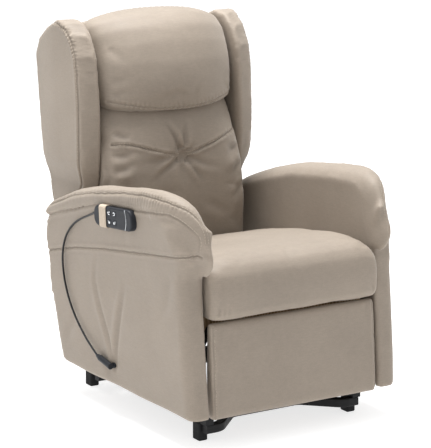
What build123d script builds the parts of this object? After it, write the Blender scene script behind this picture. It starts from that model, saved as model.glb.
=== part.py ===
"""Power lift recliner chair, built as separate pieces in one shared frame.

Millimetres, +Z up, the chair faces -Y, +X is the sitter's left.  The origin is on the
floor under the middle of the chair.  Side profiles are written as (depth, height): depth is
measured backwards from the foot of the arm fronts.
"""
import math
import os

from build123d import *

# ---- driving dimensions ----------------------------------------------------------------
FRONT_Y = -452.0            # row Y of the plane that depth is measured from
HALF_ARM_OUT = 360.0        # arm pads, outside
HALF_ARM_IN = 274.0         # arm pads, inside
COVER_OUT = 340.0           # upholstered side, outside face
COVER_IN = 318.3            # upholstered side, face against the wooden side
BOARD_OUT, BOARD_IN = 318.0, 300.0
INNER_OUT, INNER_IN = 299.7, 277.0
PLATE_IN, PLATE_T = 271.5, 5.0      # steel mechanism plates
LINK_T = 5.0
REAR_LINK_X, FRONT_LINK_X = 260.5, 266.2
LEG_OUTER_X, LEG_MIDDLE_X, LEG_INNER_X = 246.0, 240.5, 235.0
LEG_T = 4.0
PIN_R = 6.0
LEG_PIN_R = 5.0
RUN = 0.1                   # radial running clearance of a pin in its hole
TUBE = 25.0                 # square base tube
RAIL_X = 230.0
RAIL_Z = 50.0
SEAT_HALF = 272.0
BACK_HALF = 270.0
BACK_CORE_HALF = 226.0
BACK_LEAN = 0.158           # rise of depth per unit height of the back frame
SEAT_FALL = 60.0 / 491.0    # fall of the seat frame per unit depth
CORNER_RATIO = 1.3          # corner radius of a soft outline over its rim radius

# pivots, (depth, height)
BASE_REAR_PIVOT = (181.3, 110.5)
LIFT_REAR_PIVOT = (587.9, 128.0)
BASE_FRONT_PIVOT = (138.4, 100.1)
LIFT_FRONT_PIVOT = (243.4, 95.9)
LIFT_MOTOR_PIVOT = (560.0, 66.0)
LIFT_ROD_PIVOT = (150.0, 250.0)
LIFT_EYE_CLEARANCE = 6.8
BACK_PIVOT = (655.0, 255.0)
BACK_LEVER = 70.0
BACK_LEVER_ANGLE = math.radians(18.0)
RECLINE_MOTOR_PIVOT = (262.0, 205.0)
RECLINE_EYE_CLEARANCE = 2.6
LEG_CRANK_PIVOT = (100.0, 270.0)
LEG_GUIDE_PIVOT = (146.0, 247.0)
LEG_CRANK_KNEE = (165.8, 152.4)
LEG_GUIDE_KNEE = (211.8, 129.4)
LEG_CRANK_TIP = (163.8, 102.4)
LEG_STRUT_TOP = (70.0, 312.0)
LEG_STAY_TOP = (68.0, 262.0)
LIFT_ACTUATOR_X, RECLINE_ACTUATOR_X = -60.0, 95.0

# handset, on the sitter's right side (-X)
HANDSET_X = -349.5
HANDSET_T = 22.0
HANDSET_L, HANDSET_H = 208.0, 58.0
HANDSET_C = (356.0, 580.0)
HANDSET_TILT = math.radians(4.5)
CORD_R = 3.0
CORD_X = -353.0


def row(point):
    """(depth, height) to (row Y, Z)."""
    return (point[0] + FRONT_Y, point[1])


def outline(points, x_low, width):
    """Extrude a closed (depth, height) outline along X."""
    with BuildPart() as solid:
        with BuildSketch(Plane.YZ.offset(x_low)):
            with BuildLine():
                Polyline(*[row(p) for p in points], close=True)
            make_face()
        extrude(amount=width)
    return solid.part


def soft_outline(points, x_low, width, edge_radius):
    """An outline with rounded corners whose two side rims are rounded too."""
    with BuildPart() as solid:
        with BuildSketch(Plane.YZ.offset(x_low)) as profile:
            with BuildLine():
                Polyline(*[row(p) for p in points], close=True)
            make_face()
            fillet(profile.vertices(), edge_radius * CORNER_RATIO)
        extrude(amount=width)
        fillet(solid.faces().filter_by(Axis.X).edges(), edge_radius)
    return solid.part


def sided(x_low, width, side):
    """Lower X of a slab that spans x_low..x_low+width on the +X side, or its mirror."""
    return x_low if side > 0 else -x_low - width


def link(points, radius, bores, x_low, width):
    """A flat steel link: hull round its pivots, with a bore at each."""
    with BuildPart() as plate:
        with BuildSketch(Plane.YZ.offset(x_low)):
            for point in points:
                with Locations(row(point)):
                    Circle(radius)
            make_hull()
            for point, bore in zip(points, bores):
                if bore:
                    with Locations(row(point)):
                        Circle(bore, mode=Mode.SUBTRACT)
        extrude(amount=width)
    return plate.part


def pair(make):
    """The same piece on both sides, as one part of two solids."""
    return Compound(children=[make(1), make(-1)])


def rod_x(point, radius, x_low, length):
    """A round bar along X."""
    with BuildPart() as bar:
        with BuildSketch(Plane.YZ.offset(x_low)):
            with Locations(row(point)):
                Circle(radius)
        extrude(amount=length)
    return bar.part


def block(x_low, x_high, low, high):
    """A box between two (depth, height) corners."""
    return outline([low, (high[0], low[1]), high, (low[0], high[1])], x_low, x_high - x_low)


def save(name, part):
    part.label = name
    export_step(part, f"parts/{name}.step")


os.makedirs("parts", exist_ok=True)

# ---- base frame ------------------------------------------------------------------------
rails = pair(lambda s: block(*((RAIL_X, RAIL_X + TUBE) if s > 0 else (-RAIL_X - TUBE, -RAIL_X)),
                             (62.0, RAIL_Z), (736.0, RAIL_Z + TUBE)))
save("base_side_rails", rails)

with BuildPart() as front_tube:
    with BuildLine() as front_path:
        FilletPolyline(
            (-250, FRONT_Y + 76, RAIL_Z - TUBE / 2), (-203, FRONT_Y + 76, RAIL_Z - TUBE / 2),
            (-112, FRONT_Y + 166, RAIL_Z - TUBE / 2), (112, FRONT_Y + 166, RAIL_Z - TUBE / 2),
            (203, FRONT_Y + 76, RAIL_Z - TUBE / 2), (250, FRONT_Y + 76, RAIL_Z - TUBE / 2),
            radius=40)
    with BuildSketch(Plane(origin=front_path.line @ 0, z_dir=front_path.line % 0)):
        RectangleRounded(TUBE, TUBE, 4)
    sweep(path=front_path.line)
save("base_front_tube", front_tube.part)

with BuildPart() as rear_tube:
    with BuildSketch(Plane.YZ.offset(-255)):
        with Locations(row((664.5, RAIL_Z - TUBE / 2))):
            RectangleRounded(TUBE, TUBE, 4)
    extrude(amount=510)
    for ear_x in (LIFT_ACTUATOR_X - 22, LIFT_ACTUATOR_X + 17):
        with BuildSketch(Plane.YZ.offset(ear_x)):
            for ear in (LIFT_MOTOR_PIVOT, (658.0, 41.0)):
                with Locations(row(ear)):
                    Circle(11)
            make_hull()
        extrude(amount=5)
    with BuildSketch(Plane.YZ.offset(LIFT_ACTUATOR_X - 22)):
        with Locations(row(LIFT_MOTOR_PIVOT)):
            Circle(PIN_R)
    extrude(amount=44)
save("base_rear_tube", rear_tube.part)

with BuildPart() as feet:
    with Locations(*[(x, FRONT_Y + d, 0) for x in (-245, 245) for d in (108, 712)]):
        Box(28, 36, RAIL_Z, align=(Align.CENTER, Align.CENTER, Align.MIN))
    fillet(feet.edges().filter_by(Axis.Z), 5)
    chamfer(feet.faces().group_by(Axis.Z)[0].edges(), 2)
save("base_feet", feet.part)

bracket_points = [BASE_FRONT_PIVOT, BASE_REAR_PIVOT, (185.0, 66.0), (135.0, 66.0)]


def base_bracket(side):
    """Pivot bracket on a rail, with the two pins riveted in it."""
    with BuildPart() as bracket:
        with BuildSketch(Plane.YZ.offset(sided(RAIL_X + TUBE, LINK_T, side))):
            for point in bracket_points:
                with Locations(row(point)):
                    Circle(13)
            make_hull()
        extrude(amount=LINK_T)
        for pivot, reach in ((BASE_REAR_PIVOT, REAR_LINK_X), (BASE_FRONT_PIVOT, FRONT_LINK_X)):
            width = reach + LINK_T - RAIL_X - TUBE
            with BuildSketch(Plane.YZ.offset(sided(RAIL_X + TUBE, width, side))):
                with Locations(row(pivot)):
                    Circle(PIN_R)
            extrude(amount=width)
    return bracket.part


save("base_pivot_brackets", pair(base_bracket))

# ---- lift links ------------------------------------------------------------------------
bore = PIN_R + RUN
save("lift_rear_links", pair(lambda s: link([BASE_REAR_PIVOT, LIFT_REAR_PIVOT], 13, (bore, bore),
                                            sided(REAR_LINK_X, LINK_T, s), LINK_T)))
save("lift_front_links", pair(lambda s: link([BASE_FRONT_PIVOT, LIFT_FRONT_PIVOT], 13,
                                             (bore, PIN_R + 0.8), sided(FRONT_LINK_X, LINK_T, s), LINK_T)))


# ---- linear actuators ------------------------------------------------------------------
def along(start, end, distance):
    """Point at a distance from start towards end, (depth, height)."""
    length = math.dist(start, end)
    return tuple(a + (b - a) * distance / length for a, b in zip(start, end))


def axis_plane(start, end, x, distance):
    """Plane at a distance along start-end, whose normal points from start to end."""
    y, z = row(along(start, end, distance))
    direction = (0, end[0] - start[0], end[1] - start[1])
    return Plane(origin=(x, y, z), x_dir=(1, 0, 0), z_dir=direction)


def actuator(name, motor_pivot, rod_pivot, x, tube_end, rod_start, eye_clearance, motor_down):
    """Gear motor with a tail eye, outer tube, and rod with an eye at its tip."""
    with BuildPart() as motor:
        with BuildSketch(axis_plane(motor_pivot, rod_pivot, x, 16)):
            RectangleRounded(50, 50, 10)
        extrude(amount=58)
        with BuildSketch(axis_plane(motor_pivot, rod_pivot, x, 0)):
            Rectangle(26, 18)
        extrude(amount=16)
        with BuildSketch(Plane.YZ.offset(x - 13)):
            with Locations(row(motor_pivot)):
                Circle(12)
        extrude(amount=26)
        y, z = row(along(motor_pivot, rod_pivot, 45))
        sign = -1 if motor_down else 1
        with BuildSketch(Plane(origin=(x + sign * 25, y, z), x_dir=(0, 1, 0), z_dir=(sign, 0, 0))):
            Circle(24)
        extrude(amount=74)
        with BuildSketch(Plane.YZ.offset(x - 14)):
            with Locations(row(motor_pivot)):
                Circle(PIN_R + RUN)
        extrude(amount=28, mode=Mode.SUBTRACT)
    save(f"{name}_motor", motor.part)

    with BuildPart() as tube:
        with BuildSketch(axis_plane(motor_pivot, rod_pivot, x, 74)):
            Circle(19)
        extrude(amount=tube_end - 74)
        with BuildSketch(axis_plane(motor_pivot, rod_pivot, x, 80)):
            Circle(12.5)
        extrude(amount=tube_end - 80, mode=Mode.SUBTRACT)
    save(f"{name}_tube", tube.part)

    eye = PIN_R + eye_clearance
    length = math.dist(motor_pivot, rod_pivot)
    with BuildPart() as rod:
        with BuildSketch(axis_plane(motor_pivot, rod_pivot, x, rod_start)):
            Circle(11)
        extrude(amount=length - rod_start - eye - 2)
        with BuildSketch(Plane.YZ.offset(x - 10)):
            with Locations(row(rod_pivot)):
                Circle(eye + 6)
        extrude(amount=20)
        with BuildSketch(Plane.YZ.offset(x - 11)):
            with Locations(row(rod_pivot)):
                Circle(eye)
        extrude(amount=22, mode=Mode.SUBTRACT)
    save(f"{name}_rod", rod.part)


BACK_LEVER_TIP = (BACK_PIVOT[0] + BACK_LEVER * math.sin(BACK_LEVER_ANGLE),
                  BACK_PIVOT[1] - BACK_LEVER * math.cos(BACK_LEVER_ANGLE))
actuator("lift_actuator", LIFT_MOTOR_PIVOT, LIFT_ROD_PIVOT, LIFT_ACTUATOR_X, 300, 160,
         LIFT_EYE_CLEARANCE, True)
actuator("recline_actuator", RECLINE_MOTOR_PIVOT, BACK_LEVER_TIP, RECLINE_ACTUATOR_X, 330, 180,
         RECLINE_EYE_CLEARANCE, False)

# ---- seat chassis ----------------------------------------------------------------------
plate_outline = [(86, 285), (84, 258), (150, 222), (214, 118), (228, 82), (258, 82), (300, 138),
                 (556, 138), (574, 110), (602, 110), (640, 190), (676, 240), (676, 272), (650, 278),
                 (560, 262), (240, 285)]


def mechanism_plate(side):
    with BuildPart() as plate:
        with BuildSketch(Plane.YZ.offset(sided(PLATE_IN, PLATE_T, side))):
            with BuildLine():
                Polyline(*[row(p) for p in plate_outline], close=True)
            make_face()
            with Locations(row(BACK_PIVOT)):
                Circle(11 + RUN, mode=Mode.SUBTRACT)
        extrude(amount=PLATE_T)
    return plate.part


save("mechanism_plates", pair(mechanism_plate))

FRONT_CROSS = (236.0, 254.0)
REAR_CROSS = (625.0, 150.0)


def ears(points, radius, pivot, x, gap, ear_t):
    """Clevis: two ears and the pin through them."""
    with BuildPart() as clevis:
        for ear_x in (x - gap / 2 - ear_t, x + gap / 2):
            with BuildSketch(Plane.YZ.offset(ear_x)):
                for point in points:
                    with Locations(row(point)):
                        Circle(radius)
                make_hull()
            extrude(amount=ear_t)
        with BuildSketch(Plane.YZ.offset(x - gap / 2 - ear_t)):
            with Locations(row(pivot)):
                Circle(PIN_R)
        extrude(amount=gap + 2 * ear_t)
    return clevis.part


lift_clevis = ears([FRONT_CROSS, LIFT_ROD_PIVOT], 10, LIFT_ROD_PIVOT, LIFT_ACTUATOR_X, 24, 5)
recline_clevis = ears([FRONT_CROSS, RECLINE_MOTOR_PIVOT], 10, RECLINE_MOTOR_PIVOT, RECLINE_ACTUATOR_X, 30, 5)
with BuildPart() as front_cross:
    with BuildSketch(Plane.YZ.offset(-PLATE_IN)):
        with Locations(row(FRONT_CROSS)):
            Circle(12.5)
    extrude(amount=2 * PLATE_IN)
    add(lift_clevis)
    add(recline_clevis)
save("front_cross_tube", front_cross.part)
save("rear_cross_tube", rod_x(REAR_CROSS, 12.5, -PLATE_IN, 2 * PLATE_IN))


def chassis_pins(side):
    pins = []
    for pivot, radius, low in ((LIFT_REAR_PIVOT, PIN_R, REAR_LINK_X), (LIFT_FRONT_PIVOT, PIN_R, FRONT_LINK_X),
                               (LEG_CRANK_PIVOT, LEG_PIN_R, LEG_OUTER_X),
                               (LEG_GUIDE_PIVOT, LEG_PIN_R, LEG_OUTER_X)):
        pins.append(rod_x(pivot, radius, sided(low, PLATE_IN - low, side), PLATE_IN - low))
    return Compound(children=pins)


save("mechanism_pivot_pins", pair(chassis_pins))


def seat_line(depth, above=0.0):
    """Height of the seat frame's top at a depth."""
    return 345.0 - (depth - 92.0) * SEAT_FALL + above


def seat_slab(x_low, width, front, rear, low, high):
    """A slab parallel to the seat frame's top."""
    return outline([(front, seat_line(front, low)), (rear, seat_line(rear, low)),
                    (rear, seat_line(rear, high)), (front, seat_line(front, high))], x_low, width)


save("seat_front_rail", seat_slab(-271, 542, 92, 114, -45, 0))
save("seat_rear_rail", seat_slab(-271, 542, 561, 583, -45, 0))
save("seat_side_rails", pair(lambda s: seat_slab(sided(249, 22, s), 22, 114.2, 560.8, -42, 0)))

SPRING_R = 1.8


def sinuous_spring(x):
    """One zigzag seat spring lying on the front and rear rails."""
    points = []
    for step in range(13):
        depth = 96.0 + step * (579.0 - 96.0) / 12
        sway = 0.0 if step in (0, 12) else 18.0 * (-1) ** step
        points.append((x + sway, depth + FRONT_Y, seat_line(depth, SPRING_R + 0.3)))
    with BuildPart() as wire:
        with BuildLine() as path:
            FilletPolyline(*points, radius=9)
        with BuildSketch(Plane(origin=path.line @ 0, z_dir=path.line % 0)):
            Circle(SPRING_R)
        sweep(path=path.line)
    return wire.part


save("seat_springs", Compound(children=[sinuous_spring(x) for x in (-200, -120, -40, 40, 120, 200)]))
save("seat_deck", seat_slab(-268, 536, 93, 583, 4.4, 9.4))

seat_cushion = soft_outline(
    [(2, 356), (-7, 400), (-4, 450), (18, 486), (70, 500), (150, 505), (300, 487), (450, 460),
     (560, 433), (586, 400), (585, 330), (560, 300), (400, 323), (250, 342), (110, 358), (50, 352)],
    -SEAT_HALF, 2 * SEAT_HALF, 14)
save("seat_cushion", seat_cushion)


# ---- sides and arms --------------------------------------------------------------------
def front_lean(height, inset=0.0):
    """Depth of the leaning arm front at a height."""
    return (height - 86.0) * 0.108 + inset


COVER_OUTLINE = [(front_lean(88), 88), (front_lean(466), 466), (front_lean(560, 14), 560), (72, 592),
                 (110, 606), (183, 612), (290, 604), (456, 588), (602, 548), (768, 500), (790, 494),
                 (796, 440), (769, 287), (742, 188), (714, 92)]
BOARD_OUTLINE = [(front_lean(104, 26), 104), (front_lean(560, 26), 560), (112, 588), (183, 596),
                 (290, 588), (456, 571), (602, 531), (756, 486), (776, 432), (750, 290), (722, 192),
                 (700, 108)]
SOCKET_POINT = (414.0, 146.0)


def side_cover(side):
    with BuildPart() as cover:
        with BuildSketch(Plane.YZ.offset(sided(INNER_IN, COVER_OUT - INNER_IN, side))):
            with BuildLine():
                Polyline(*[row(p) for p in COVER_OUTLINE], close=True)
            make_face()
        extrude(amount=COVER_OUT - INNER_IN)
        with BuildSketch(Plane.YZ.offset(sided(INNER_IN, COVER_IN - INNER_IN, side))):
            with BuildLine():
                Polyline(*[row(p) for p in ((front_lean(80, 25), 80), (front_lean(640, 25), 640),
                                            (900, 640), (900, 80))], close=True)
            make_face()
        extrude(amount=COVER_IN - INNER_IN, mode=Mode.SUBTRACT)
        if side < 0:
            with BuildSketch(Plane.YZ.offset(-COVER_OUT)):
                with Locations(row(SOCKET_POINT)):
                    Circle(8.2)
            extrude(amount=COVER_OUT - COVER_IN, mode=Mode.SUBTRACT)
    return cover.part


def side_board(side):
    with BuildPart() as board:
        with BuildSketch(Plane.YZ.offset(sided(BOARD_IN, BOARD_OUT - BOARD_IN, side))):
            with BuildLine():
                Polyline(*[row(p) for p in BOARD_OUTLINE], close=True)
            make_face()
            if side < 0:
                with Locations(row(SOCKET_POINT)):
                    Circle(8.2, mode=Mode.SUBTRACT)
        extrude(amount=BOARD_OUT - BOARD_IN)
    return board.part


def inner_panel(side):
    points = [(front_lean(300, 25.4), 300), (front_lean(592, 25.4), 592), (112, 604), (183, 610),
              (290, 602), (456, 586), (602, 546), (768, 498), (780, 440), (690, 300)]
    return outline(points, sided(INNER_IN, INNER_OUT - INNER_IN, side), INNER_OUT - INNER_IN)


def arm_pad(side):
    points = [(60, 600), (54, 540), (46, 486), (22, 470), (-20, 486), (-52, 530), (-62, 585),
              (-52, 632), (-20, 664), (40, 682), (110, 684), (250, 677), (440, 652), (600, 614),
              (740, 565), (812, 522), (806, 504), (760, 514), (602, 563), (456, 604), (290, 621),
              (183, 627), (100, 622)]
    return soft_outline(points, sided(HALF_ARM_IN, HALF_ARM_OUT - HALF_ARM_IN, side),
                        HALF_ARM_OUT - HALF_ARM_IN, 8)


for name, side in (("left", 1), ("right", -1)):
    save(f"side_cover_{name}", side_cover(side))
    save(f"side_board_{name}", side_board(side))
    save(f"arm_pad_{name}", arm_pad(side))
save("inner_side_panels", pair(inner_panel))

SPACER_POINTS = [(180, 250), (330, 210), (480, 200), (620, 215)]


def spacers(side):
    """Spacer bolts that hold the mechanism plate to the wooden side."""
    low = PLATE_IN + PLATE_T
    return Compound(children=[rod_x(p, 9, sided(low, BOARD_IN - low, side), BOARD_IN - low)
                              for p in SPACER_POINTS])


save("frame_spacer_bolts", pair(spacers))

with BuildPart() as control_box:
    with Locations((-205, FRONT_Y + 400, 258)):
        Box(86, 140, 56)
    fillet(control_box.edges().filter_by(Axis.Z), 6)
save("control_box", control_box.part)

with BuildPart() as power_inlet:
    with BuildSketch(Plane.XZ.offset(-(FRONT_Y + 470.3))):
        with Locations((-205, 258)):
            Circle(11)
            Circle(4, mode=Mode.SUBTRACT)
    extrude(amount=-16)
save("power_inlet", power_inlet.part)

# ---- handset, its cord and its plug ----------------------------------------------------
COS_T, SIN_T = math.cos(HANDSET_TILT), math.sin(HANDSET_TILT)


def on_handset(back, up):
    """(depth, height) of a point on the handset: back towards its cord end, and up."""
    return (HANDSET_C[0] + back * COS_T + up * SIN_T, HANDSET_C[1] - back * SIN_T + up * COS_T)


def handset_plane(out):
    """Plane on the handset, X along its length to the rear, normal outwards (-X)."""
    y, z = row(HANDSET_C)
    return Plane(origin=(HANDSET_X - out, y, z), x_dir=(0, COS_T, -SIN_T), z_dir=(-1, 0, 0))


BUTTON_SPOTS = [(back, up) for back in (-14.0, 16.0) for up in (-12.0, 12.0)]
BUTTON_W, BUTTON_H = 17.0, 15.0

with BuildPart() as handset_back:
    with BuildSketch(handset_plane(0)):
        RectangleRounded(HANDSET_L, HANDSET_H, 24)
    extrude(amount=10)
    fillet(handset_back.faces().sort_by(Axis.X)[-1].edges(), 5)
save("handset_back_shell", handset_back.part)

with BuildPart() as handset_front:
    with BuildSketch(handset_plane(10.05)):
        RectangleRounded(HANDSET_L, HANDSET_H, 24)
    extrude(amount=HANDSET_T - 10.05)
    fillet(handset_front.faces().sort_by(Axis.X)[0].edges(), 5)
    with BuildSketch(handset_plane(HANDSET_T)):
        with Locations(*BUTTON_SPOTS):
            RectangleRounded(BUTTON_W + 0.8, BUTTON_H + 0.8, 3.4)
    extrude(amount=-5, mode=Mode.SUBTRACT)
save("handset_front_shell", handset_front.part)

BUTTON_NAMES = ["button_feet_up", "button_feet_down", "button_back_down", "button_back_up"]
for name, spot in zip(BUTTON_NAMES, BUTTON_SPOTS):
    with BuildPart() as button:
        with BuildSketch(handset_plane(HANDSET_T - 2.8)):
            with Locations(spot):
                RectangleRounded(BUTTON_W, BUTTON_H, 3)
        extrude(amount=3.6)
        fillet(button.faces().sort_by(Axis.X)[0].edges(), 0.8)
    save(name, button.part)

STRAP_BACK, STRAP_W, STRAP_T = 50.0, 36.0, 1.5
with BuildPart() as strap:
    strap_y, strap_z = row(on_handset(STRAP_BACK - STRAP_W / 2, 0))
    strap_plane = Plane(origin=(0, strap_y, strap_z), x_dir=(-1, 0, 0), z_dir=(0, COS_T, -SIN_T))
    with BuildSketch(strap_plane):
        inner_low, inner_high = -HANDSET_X - 0.5, -HANDSET_X + HANDSET_T + 1.2
        half = HANDSET_H / 2 + 1.2
        middle = (inner_low + inner_high) / 2
        with Locations((middle, 0)):
            RectangleRounded(inner_high - inner_low + 2 * STRAP_T, 2 * (half + STRAP_T), 8)
            RectangleRounded(inner_high - inner_low, 2 * half, 6.5, mode=Mode.SUBTRACT)
    extrude(amount=STRAP_W)
save("handset_strap", strap.part)

RELIEF_L = 24.0
CORD_START = on_handset(HANDSET_L / 2 + RELIEF_L, 0)
with BuildPart() as relief:
    y, z = row(on_handset(HANDSET_L / 2 + 0.05, 0))
    relief_plane = Plane(origin=(CORD_X - 4, y, z), x_dir=(1, 0, 0), z_dir=(0, COS_T, -SIN_T))
    with BuildSketch(relief_plane):
        Circle(7)
    with BuildSketch(relief_plane.offset(RELIEF_L)):
        Circle(CORD_R + 1)
    loft()
save("handset_strain_relief", relief.part)

PLUG_END = (484.0, 160.0)
PLUG_FRONT = (413.0, 146.0)
cord_mid = [(520.0, 556.0), (575.0, 536.0), (628.0, 506.0), (668.0, 462.0), (684.0, 408.0),
            (676.0, 350.0), (652.0, 296.0), (614.0, 248.0), (568.0, 210.0), (526.0, 182.0)]
cord_points = [CORD_START] + cord_mid + [PLUG_END]
cord_xs = [CORD_X - 4] + [CORD_X] * (len(cord_points) - 2) + [CORD_X + 1]
cord_3d = [Vector(x, *row(p)) for x, p in zip(cord_xs, cord_points)]


def corner_radii(points):
    """Largest comfortable bend at each inner point of a run of straights."""
    radii = []
    for before, here, after in zip(points, points[1:], points[2:]):
        first, second = here - before, after - here
        turn = math.radians(first.get_angle(second))
        radii.append(0.45 * min(first.length, second.length) / math.tan(turn / 2))
    return radii


with BuildPart() as cord:
    with BuildLine() as cord_path:
        FilletPolyline(*cord_3d, radius=corner_radii(cord_3d))
    with BuildSketch(Plane(origin=cord_path.line @ 0, z_dir=cord_path.line % 0)):
        Circle(CORD_R)
    sweep(path=cord_path.line)
save("handset_cord", cord.part)
cord_length = sum(edge.length for edge in cord_path.edges())
print("cord length", round(cord_length, 1), "radii", [round(r) for r in corner_radii(cord_3d)])
print("cord volume ratio", round(cord.part.volume / (math.pi * CORD_R ** 2 * cord_length), 4))

with BuildPart() as plug:
    tail = cord_3d[-1]
    plug_dir = Vector(-350.5, *row(PLUG_FRONT)) - tail
    with BuildSketch(Plane(origin=tail, x_dir=(1, 0, 0), z_dir=plug_dir)):
        Circle(5)
    with BuildSketch(Plane(origin=tail + plug_dir.normalized() * 18, x_dir=(1, 0, 0), z_dir=plug_dir)):
        Circle(9)
    loft()
    with BuildSketch(Plane(origin=tail + plug_dir.normalized() * 18, x_dir=(1, 0, 0), z_dir=plug_dir)):
        Circle(9)
    extrude(amount=plug_dir.length - 14)
save("cord_plug", plug.part)
save("cord_socket", rod_x(SOCKET_POINT, 8, -COVER_OUT - 1, 46))

# ---- backrest --------------------------------------------------------------------------
def back_line(height, behind=0.0):
    """Depth of the back frame's front face at a height."""
    return 770.0 + (height - 300.0) * BACK_LEAN + behind


def back_bar(x_low, width, low, high, depth_from=0.0, depth_to=50.0):
    return outline([(back_line(low, depth_from), low), (back_line(low, depth_to), low),
                    (back_line(high, depth_to), high), (back_line(high, depth_from), high)], x_low, width)


save("back_stiles", pair(lambda s: back_bar(sided(200, 22, s), 22, 300, 1000)))
save("back_top_rail", back_bar(-199.8, 399.6, 950, 1000))
save("back_bottom_rail", back_bar(-199.8, 399.6, 320, 370))

back_lever = ears([BACK_PIVOT, BACK_LEVER_TIP], 9, BACK_LEVER_TIP, RECLINE_ACTUATOR_X, 24, 5)
with BuildPart() as back_hinge:
    with BuildSketch(Plane.YZ.offset(-PLATE_IN - PLATE_T)):
        with Locations(row(BACK_PIVOT)):
            Circle(11)
    extrude(amount=2 * (PLATE_IN + PLATE_T))
    for side in (1, -1):
        with BuildSketch(Plane.YZ.offset(sided(222.2, 5, side))):
            with BuildLine():
                Polyline(*[row(p) for p in ((646, 242), (660, 241), (800, 292), (816, 302), (826, 368),
                                            (790, 366), (782, 322), (650, 268))], close=True)
            make_face()
        extrude(amount=5)
    add(back_lever)
save("back_hinge_frame", back_hinge.part)

wing_outline = [(664, 592), (643, 640), (638, 720), (640, 810), (648, 900), (660, 975), (686, 1030),
                (735, 1064), (795, 1068), (870, 1040), (940, 1000), (966, 960), (952, 860), (935, 730),
                (910, 600), (890, 530), (850, 520), (760, 556)]
for name, side in (("left", 1), ("right", -1)):
    save(f"back_wing_{name}", soft_outline(wing_outline, sided(229, 41, side), 41, 12))

lumbar_outline = [(612, 340), (598, 420), (592, 520), (598, 620), (612, 720), (634, 790), (668, 815),
                  (740, 818), (816, 812), (843, 790), (832, 720), (807, 560), (786, 430), (768, 345),
                  (690, 332)]
save("lumbar_cushion", soft_outline(lumbar_outline, -227, 454, 14))

pillow_outline = [(640, 822), (612, 838), (606, 880), (618, 950), (640, 1010), (668, 1058), (712, 1084),
                  (780, 1084), (850, 1050), (872, 990), (862, 900), (848, 836), (800, 821), (720, 822)]
save("head_pillow", soft_outline(pillow_outline, -227, 454, 14))

rear_outline = [(822, 300), (back_line(1000, 50.6), 1000.6), (880, 1003), (884, 1052), (905, 1062),
                (940, 1036), (966, 970), (950, 860), (930, 730), (893, 500), (862, 300)]
save("back_rear_cover", outline(rear_outline, -227, 454))

# ---- leg rest --------------------------------------------------------------------------
leg_bore = LEG_PIN_R + RUN
save("legrest_guides", pair(lambda s: link([LEG_GUIDE_PIVOT, LEG_GUIDE_KNEE], 10, (leg_bore, LEG_PIN_R + 0.5),
                                           sided(LEG_OUTER_X, LEG_T, s), LEG_T)))
save("legrest_stays", pair(lambda s: link([LEG_CRANK_TIP, LEG_STAY_TOP], 9, (leg_bore, LEG_PIN_R + 0.5),
                                          sided(LEG_MIDDLE_X, LEG_T, s), LEG_T)))


def joined_x(low, high):
    """Span along X from the low side of one link to the high side of another."""
    return low, high - low


def strut(side):
    """Strut link with the pins that enter the crank and the guide."""
    with BuildPart() as body:
        with BuildSketch(Plane.YZ.offset(sided(LEG_MIDDLE_X, LEG_T, side))):
            for point in (LEG_CRANK_KNEE, LEG_GUIDE_KNEE, LEG_STRUT_TOP):
                with Locations(row(point)):
                    Circle(10)
            make_hull()
            with Locations(row(LEG_STRUT_TOP)):
                Circle(leg_bore, mode=Mode.SUBTRACT)
        extrude(amount=LEG_T)
        low, width = joined_x(LEG_MIDDLE_X + LEG_T, LEG_OUTER_X + LEG_T)
        with BuildSketch(Plane.YZ.offset(sided(low, width, side))):
            with Locations(row(LEG_CRANK_KNEE), row(LEG_GUIDE_KNEE)):
                Circle(LEG_PIN_R)
        extrude(amount=width)
    return body.part


def crank(side):
    """Bell-crank link, with the pin at its tip that carries the stay."""
    with BuildPart() as body:
        with BuildSketch(Plane.YZ.offset(sided(LEG_OUTER_X, LEG_T, side))):
            for point in (LEG_CRANK_PIVOT, LEG_CRANK_KNEE, LEG_CRANK_TIP):
                with Locations(row(point)):
                    Circle(10)
            make_hull()
            with Locations(row(LEG_CRANK_PIVOT), row(LEG_CRANK_KNEE)):
                Circle(leg_bore, mode=Mode.SUBTRACT)
        extrude(amount=LEG_T)
        low, width = joined_x(LEG_MIDDLE_X, LEG_OUTER_X)
        with BuildSketch(Plane.YZ.offset(sided(low, width, side))):
            with Locations(row(LEG_CRANK_TIP)):
                Circle(LEG_PIN_R)
        extrude(amount=width)
    return body.part


save("legrest_cranks", pair(crank))
save("legrest_struts", pair(strut))


def leg_bracket(side):
    """Bracket on the board with the two pins that carry it."""
    with BuildPart() as body:
        with BuildSketch(Plane.YZ.offset(sided(LEG_INNER_X, LEG_T, side))):
            with BuildLine():
                Polyline(*[row(p) for p in ((58, 322), (78, 322), (78, 252), (58, 252))], close=True)
            make_face()
        extrude(amount=LEG_T)
        low, width = joined_x(LEG_INNER_X + LEG_T, LEG_MIDDLE_X + LEG_T)
        with BuildSketch(Plane.YZ.offset(sided(low, width, side))):
            with Locations(row(LEG_STRUT_TOP), row(LEG_STAY_TOP)):
                Circle(LEG_PIN_R)
        extrude(amount=width)
    return body.part


save("legrest_brackets", pair(leg_bracket))
save("legrest_board", block(-250, 250, (46, 92), (57.9, 332)))
pad_outline = [(6, 80), (0, 92), (3, 140), (8, 200), (13, 260), (18, 320), (24, 338), (34, 343),
               (44, 338), (45.5, 300), (45.5, 200), (45.5, 110), (44, 84), (26, 79)]
save("legrest_pad", soft_outline(pad_outline, -264, 528, 6))
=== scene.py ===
"""Looks of the powered lift recliner chair with a wing back."""

import math

import bmesh
import bpy
import numpy as np
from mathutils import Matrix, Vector
from mathutils.kdtree import KDTree


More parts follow.
